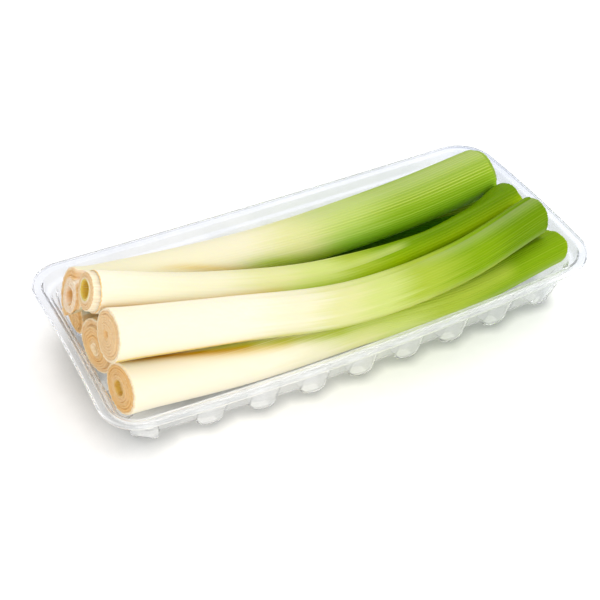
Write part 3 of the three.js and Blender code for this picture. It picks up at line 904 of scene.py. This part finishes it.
def leekMesh(name, leek):
    form = leekForm
    random = np.random.RandomState(leek["seed"])
    sides = form["sides"]
    fromSeam = 2 * math.pi * np.arange(sides) / sides
    ribSize = np.clip(1 + waves(fromSeam, random, *form["ribWaves"]), *form["ribLimits"])
    seamPhase = random.uniform(0, 2 * math.pi)
    rings, zones, spans = [], [], []

    def addRing(place, angles, reach, along, aside=(0, 0)):
        centre = pathPoint(leek, place)
        before, after = pathPoint(leek, max(0, place - 0.001)), pathPoint(leek, min(1, place + 0.001))
        tangent = (after - before).normalized()
        back = Vector((0, 0, 1)).cross(tangent).normalized()
        top = tangent.cross(back)
        toBack = reach * np.cos(angles) + aside[0]
        toTop = reach * np.sin(angles) + aside[1]
        offsets = np.stack([toBack, toTop, along(toBack, toTop)], -1)
        rings.append(np.array(centre + shift) + offsets @ np.array([back, top, tangent]))

    def anglesAt(place):
        sway = math.radians(form["twist"]) * math.sin(form["twistRate"] * place + seamPhase)
        return fromSeam + math.radians(leek["seam"]) + sway

    # Root face
    root = leek["root"]
    angles = anglesAt(0)
    fromNotch = np.sin((angles - math.radians(form["notchAngle"])) / 2)
    fromNotch = fromNotch / math.radians(form["notchSpread"] / 2)
    notch = root["notch"] * np.exp(-(fromNotch**2))
    rimReach = shaftRadius(leek, 0, angles, fromSeam, ribSize)
    wholeReach = shaftRadius({**leek, "root": {"tear": 0}}, 0, angles, fromSeam, ribSize)
    ragged = waves(angles, random, *form["rootRagged"])
    oval = waves(angles, random, *form["rootOval"])

    def slant(toBack, toTop):
        return root["slant"][0] * toBack + root["slant"][1] * toTop

    for share, rise in reversed(rootProfile(leek, random)):
        inward = 1 - share
        ovalReach = wholeReach * share * (1 + oval * inward * 1.6)
        reach = np.minimum(ovalReach, rimReach * (0.9 + 0.1 * share))
        sheath = smoothShare(share, 0.6, 0.72)
        edge = waves(angles, random, *form["rootEdge"]) + ragged * smoothShare(share, 0.5, 1)
        aside = [inward * part * leek["radii"][0] for part in root["coreShift"]]
        addRing(0, angles, reach, lambda b, t: slant(b, t) + notch * sheath - rise + edge, aside)
        zones.append(1)
        spans.append((share, share))
    spans = [(spans[i][0], spans[i + 1][0]) for i in range(len(spans) - 1)] + [(spans[-1][0], 1)]

    # Shaft
    places = np.concatenate([[0], *(np.linspace(*run) for run in form["placeRuns"]), [1]])
    tipEdge = waves(anglesAt(1), random, *form["tipBend"]) + waves(anglesAt(1), random, *form["tipFray"])
    tip = leek["tip"]
    rimBack = form["chamfer"] + root["sheathBack"]
    for step, place in enumerate(places):
        angles = anglesAt(place)
        fadeRoot = max(0, 1 - place / form["rootReach"]) ** 2
        fadeTip = max(0, (place - 1 + form["tipReach"]) / form["tipReach"]) ** 2
        reach = shaftRadius(leek, place, angles, fromSeam, ribSize)
        addRing(place, angles, reach, lambda b, t: (
            fadeRoot * (slant(b, t) + notch + rimBack + ragged)
            + fadeTip * (tipEdge - tip[0] * b - tip[1] * t)
        ))
        if step < len(places) - 1:
            zones.append(0)
            spans.append((place, places[step + 1]))

    # Green end
    angles = anglesAt(1)
    tipReach = shaftRadius(leek, 1, angles, fromSeam, ribSize)
    keel = math.radians(leek["keel"])
    leafWidth = form["leafReach"] / form["leafCount"]
    lastShare = 1
    for share, rise, side, inGap in leafProfile(leek, random):
        inward = 1 - share
        fold = 1 - form["leafFold"] * inward * np.sin(angles - keel) ** 2
        slide = (form["leafShift"] * inward + side * leafWidth) * leek["radii"][3]
        reach = tipReach * share * fold
        edge = tipEdge * smoothShare(share, 0.7, 1) + waves(angles, random, *form["leafFray"])
        if share < 0.86 and not inGap:
            edge = edge + waves(angles, random, *form["leafBend"])
        aside = (slide * math.cos(keel), slide * math.sin(keel))
        addRing(1, angles, reach, lambda b, t: rise + edge - tip[0] * b - tip[1] * t, aside)
        zones.append(3 if inGap else 2)
        spans.append((lastShare, share))
        lastShare = share

    turns = leek["seam"] / 360 + np.arange(sides + 1) / sides
    return ringMesh(name, np.array(rings), turns, np.array(zones), spans, "leekMap")


for node, leek in leeks.items():
    short = node.replace("leek_", "")
    materials = [
        makeSkin("skin_" + short, leek),
        makeRootFace("root_" + short, leek),
        makeCutGreen("cut_" + short, leek, False),
        makeCutGreen("inner_" + short, leek, True),
    ]
    addPiece("stalk_" + short, leekMesh("stalk_" + short, leek), materials, node)
    print("leek made:", node)


# The tray wall's section: inset from the rim's edge, height, corner radius, how far a column stands
# out, and how far a foot sinks there as a share of the foot's drop
footDrop = tray["floorHeight"] - tray["sheet"]
wallSection = [
    (0.0232, 0.0050, 0.0130, 0, 0),
    (0.0205, 0.0050, 0.0145, 0, 1),
    (0.0176, 0.0050, 0.0160, 0.0015, 1),
    (0.0166, 0.0066, 0.0160, 0.0034, 0.73),
    (0.0133, 0.0185, 0.0155, 0.0030, 0),
    (0.0116, 0.0255, 0.0150, 0.0019, 0),
    (0.0105, 0.0290, 0.0145, 0, 0),
    (0.0096, 0.0316, 0.0140, 0, 0),
    (0.0072, 0.0322, 0.0145, 0, 0),
    (0.0060, 0.0376, 0.0150, 0, 0),
    (0, 0.0380, 0.0207, 0, 0),
    (0, 0.0358, 0.0207, 0, 0),
    (0.0009, 0.0358, 0.0198, 0, 0),
    (0.0009, 0.0371, 0.0198, 0, 0),
    (0.0050, 0.0368, 0.0160, 0, 0),
    (0.0062, 0.0314, 0.0154, 0, 0),
    (0.0087, 0.0308, 0.0148, 0, 0),
    (0.0107, 0.0252, 0.0158, 0.0019, 0),
    (0.0124, 0.0184, 0.0163, 0.0030, 0),
    (0.0157, 0.0060, 0.0167, 0.0034, 0.73),
    (0.0170, footDrop, 0.0164, 0.0015, 1),
    (0.0213, footDrop, 0.0140, 0, 1),
    (0.0240, footDrop, 0.0125, 0, 0),
]


# The section with its bends rounded and its long runs split
def finerSection():
    rows = np.array(wallSection)
    finer = [rows[0]]
    for i in range(1, len(rows) - 1):
        before, here, after = rows[i - 1], rows[i], rows[i + 1]
        backLength = np.linalg.norm((before - here)[:2])
        onLength = np.linalg.norm((after - here)[:2])
        start = here + (before - here) * min(0.45, tray["bend"] / backLength)
        end = here + (after - here) * min(0.45, tray["bend"] / onLength)
        parts = int(np.linalg.norm((start - finer[-1])[:2]) / tray["sectionStep"]) + 1
        for extra in range(1, parts):
            finer.append(finer[-1] + (start - finer[-1]) * extra / parts)
        for step in range(tray["bendSteps"] + 1):
            share = step / tray["bendSteps"]
            finer.append((1 - share) ** 2 * start + 2 * share * (1 - share) * here + share**2 * end)
    finer.append(rows[-1])
    return np.array(finer)


# Places round the tray, anticlockwise from above: side, distance along it or corner angle, and
# distance from the nearest column's middle
def trayStations():
    halfWidth = tray["columnHalfWidth"]
    stations = []
    corner = np.linspace(0, 90, tray["cornerSteps"])
    for side in range(4):
        isShort = side % 2 == 0
        columns = tray["shortSideColumns"] if isShort else tray["longSideColumns"]
        straight = []
        for number, middle in enumerate(columns):
            steps = np.linspace(0, math.pi, tray["columnSteps"])
            straight += [(middle - halfWidth * math.cos(step), -halfWidth * math.cos(step)) for step in steps]
            if number < len(columns) - 1:
                gap = np.linspace(middle + halfWidth, columns[number + 1] - halfWidth, tray["wallSteps"] + 2)
                straight += [(along, halfWidth) for along in gap[1:-1]]
        reach = (tray["width"] if isShort else tray["length"]) / 2 - tray["cornerReach"]
        spare = np.linspace(straight[-1][0], reach, 5)[1:-1] if reach > straight[-1][0] + 0.002 else []
        straight = [(-along, halfWidth) for along in reversed(spare)] + straight
        straight += [(along, halfWidth) for along in spare]
        stations += [(side, along, None, fromMiddle) for along, fromMiddle in straight]
        for step in corner if not isShort else 90 - corner[::-1]:
            fromLong = step if not isShort else 90 - step
            fromMiddle = math.radians(fromLong - tray["cornerFootAngle"]) * tray["cornerFootRadius"]
            stations.append((side, None, step, fromMiddle))
    return stations


def columnStrength(distance, width):
    return math.sqrt(max(0, 1 - (distance / width) ** 2))


def flexed(x, y, z):
    shareX = (x / (tray["length"] / 2)) ** 2
    shareY = (y / (tray["width"] / 2)) ** 2
    alongX, alongY = 1 - shareX, 1 - shareY
    rise = float(smoothShare(z, tray["sag"]["start"], tray["height"]))
    bowX = -tray["bow"]["root"] if x < 0 else tray["bow"]["tip"]
    bowY = -tray["bow"]["front"] if y < 0 else tray["bow"]["back"]
    sag = tray["sag"]["front"] if y < 0 else tray["sag"]["back"]
    return (x + bowX * alongY * shareX, y + bowY * alongX * shareY, z - sag * alongX * shareY * rise)


# The foot of the wall is pushed in near the front corner at the root end
def tucked(x, y, z):
    push = tray["tuck"]
    lowShare = 1 - float(smoothShare(z, *push["heights"]))
    inwardShare = float(smoothShare(-x, *push["inwardX"]) * smoothShare(-y, *push["inwardY"]))
    alongShare = float(smoothShare(-x, *push["alongX"]) * smoothShare(-y, *push["alongY"]))
    inward, along = push["inward"] * inwardShare, push["along"] * alongShare
    return (x + along * lowShare, y + inward * lowShare, z)


def trayPoint(station, level):
    side, along, angle, fromMiddle = station
    inset, height, radius, column, drop = level
    halfLength = tray["length"] / 2 - inset
    halfWidth = tray["width"] / 2 - inset
    isShort = side % 2 == 0
    outward = halfLength if isShort else halfWidth
    reach = halfWidth if isShort else halfLength
    arch = max(0, min(1, (height - tray["archLow"]) / (tray["archHigh"] - tray["archLow"])))
    width = tray["columnHalfWidth"] * math.sqrt(1 - arch**2) + 0.00001  # never quite 0
    flatShare = columnStrength(tray["columnFlatHalfWidth"], tray["columnHalfWidth"])
    standOut = column * columnStrength(fromMiddle, width)
    foot = min(1, columnStrength(fromMiddle, tray["columnHalfWidth"]) / flatShare)
    if angle is None:
        outward += standOut
    else:
        turn = math.radians(angle)
        outward += (radius + standOut) * math.cos(turn) - radius
        along = reach - radius + (radius + standOut) * math.sin(turn)
    sideAngle = math.radians(90 * side)
    x = outward * math.cos(sideAngle) - along * math.sin(sideAngle)
    y = outward * math.sin(sideAngle) + along * math.cos(sideAngle)
    return tucked(*flexed(x, y, height - footDrop * drop * foot))


def trayMesh():
    stations = trayStations()
    levels = finerSection()[::-1]
    rings = np.array([[trayPoint(station, level) for station in stations] for level in levels])
    rings = rings + np.array(shift)
    turns = np.linspace(0, 1, len(stations) + 1)
    zones = np.zeros(len(levels) - 1, int)
    spans = [(i / len(levels), (i + 1) / len(levels)) for i in range(len(levels) - 1)]
    return ringMesh("clear_tray", rings, turns, zones, spans, "trayMap")


plastic = {
    "hazeScale": 60.0,
    "hazeStops": [(0.3, (0.91, 0.92, 0.93)), (0.7, (0.96, 0.965, 0.97))],
    "farReach": (-0.02, 0.05),
    # painted shade on the back side and at the leaf end
    "farSideShadeTint": (0.91, 0.92, 0.97, 1),
    "leafEndReach": (0.115, 0.145),
    "leafEndShadeTint": (0.85, 0.87, 0.92, 1),
    "roughness": (0.01, 0.04),
    "rippleScale": 25.0,
    "rippleStrength": 0.08,
    "rippleDepth": 0.0006,
    "transmission": 0.87,
    "ior": 1.35,
    "shadow": 0.1,  # the share of the light that it keeps back in a shadow
}


def makeClearPlastic():
    material, tree, shader = startMaterial("clearPlastic")
    place = addNode(tree, "ShaderNodeTexCoord").outputs["Object"]
    haze = noiseAt(tree, place, plastic["hazeScale"], 3.0)
    colour = ramp(tree, haze, plastic["hazeStops"])
    sides = addNode(tree, "ShaderNodeSeparateXYZ", {"Vector": place}).outputs
    # Painted shade: the back side and the leaf end of the tray are tinted darker and bluer
    farSide = between(tree, sides["Y"], *plastic["farReach"])
    colour = blend(tree, farSide, colour, plastic["farSideShadeTint"], "MULTIPLY")
    leafEnd = between(tree, sides["X"], *plastic["leafEndReach"])
    colour = blend(tree, leafEnd, colour, plastic["leafEndShadeTint"], "MULTIPLY")
    ripple = noiseAt(tree, place, plastic["rippleScale"], 1.0)
    bump = addNode(tree, "ShaderNodeBump", {
        "Height": ripple, "Strength": plastic["rippleStrength"], "Distance": plastic["rippleDepth"],
    })
    shadowRay = addNode(tree, "ShaderNodeLightPath").outputs["Is Shadow Ray"]
    fill(tree, shader, {
        "Base Color": colour,
        "Roughness": between(tree, haze, 0.3, 0.7, *plastic["roughness"]),
        "Normal": bump.outputs["Normal"],
        "Transmission Weight": plastic["transmission"],
        "IOR": plastic["ior"],
        "Metallic": 0.0,
        "Alpha": between(tree, shadowRay, 0.0, 1.0, 1.0, plastic["shadow"]),
    })
    return material


trayPiece = addPiece("clear_tray", trayMesh(), [makeClearPlastic()], "tray")
trayPiece.visible_diffuse = False  # clear plastic lets the soft light through to the leeks
print("tray made")

# Floor, light and surroundings
studio = {
    "floorSize": 6.0,
    "floorTone": (0.95, 0.95, 0.95),
    "grainScale": 90.0,
    "grainTone": 1.02,
    "floorRoughness": 0.9,
    "floorSpecular": 0.1,
    "contactReach": (0.009, 0.027),  # the soft shadow round the tray, far longer at the root end
    "contactPlaces": (-0.10, -0.15),
    "contactStops": [(0.0, (1.0, 1.0, 1.0)), (0.15, (0.50, 0.51, 0.52)), (0.4, (0.56, 0.57, 0.58)),
                     (0.85, (1.0, 1.0, 1.0))],
    "worldTone": (1.0, 1.0, 1.0),
    "worldStrength": 0.92,
    "lamps": {
        "key": {"place": (0.5, 0.4, 1.1), "size": 0.8, "power": 3.0},
        "fill": {"place": (0.1, -1.05, 0.85), "size": 1.2, "power": 8.0},
    },
}


def makeStudio():
    half = studio["floorSize"] / 2
    floorMesh = bpy.data.meshes.new("floor")
    corners = [(-half, -half, 0), (half, -half, 0), (half, half, 0), (-half, half, 0)]
    floorMesh.from_pydata(corners, [], [(0, 1, 2, 3)])
    floor = addObject("floor", floorMesh)
    floorMaterial, tree, shader = startMaterial("floorPaper")
    place = addNode(tree, "ShaderNodeTexCoord").outputs["Object"]
    grain = noiseAt(tree, place, studio["grainScale"], 2.0)
    tone = studio["floorTone"]
    paler = tuple(part * studio["grainTone"] for part in tone)
    paper = ramp(tree, grain, [(0.3, tone), (0.7, paler)])
    acrossFloor = addNode(tree, "ShaderNodeSeparateXYZ", {"Vector": place}).outputs["X"]
    reach = between(tree, acrossFloor, *studio["contactPlaces"], *studio["contactReach"])
    nearness = addNode(tree, "ShaderNodeAmbientOcclusion", {"Distance": reach}, samples=8)
    contact = ramp(tree, nearness.outputs["AO"], studio["contactStops"], "LINEAR")
    fill(tree, shader, {
        "Base Color": blend(tree, 1.0, paper, contact, "MULTIPLY"),
        "Roughness": studio["floorRoughness"],
        "Specular IOR Level": studio["floorSpecular"],
    })
    floorMesh.materials.append(floorMaterial)

    world = bpy.data.worlds.new("studioWorld")
    world.use_nodes = True
    fill(world.node_tree, world.node_tree.nodes["Background"], {
        "Color": (*studio["worldTone"], 1), "Strength": studio["worldStrength"],
    })
    bpy.context.scene.world = world

    for name, settings in studio["lamps"].items():
        light = bpy.data.lights.new(name, "AREA")
        light.size = settings["size"]
        light.energy = settings["power"]
        lamp = addObject(name, light)
        lamp.location = Vector(settings["place"])
        lamp.rotation_mode = "QUATERNION"
        lamp.rotation_quaternion = (-lamp.location).to_track_quat("-Z", "Y")
    bpy.context.scene.view_settings.view_transform = "Standard"


makeStudio()
print("studio made")
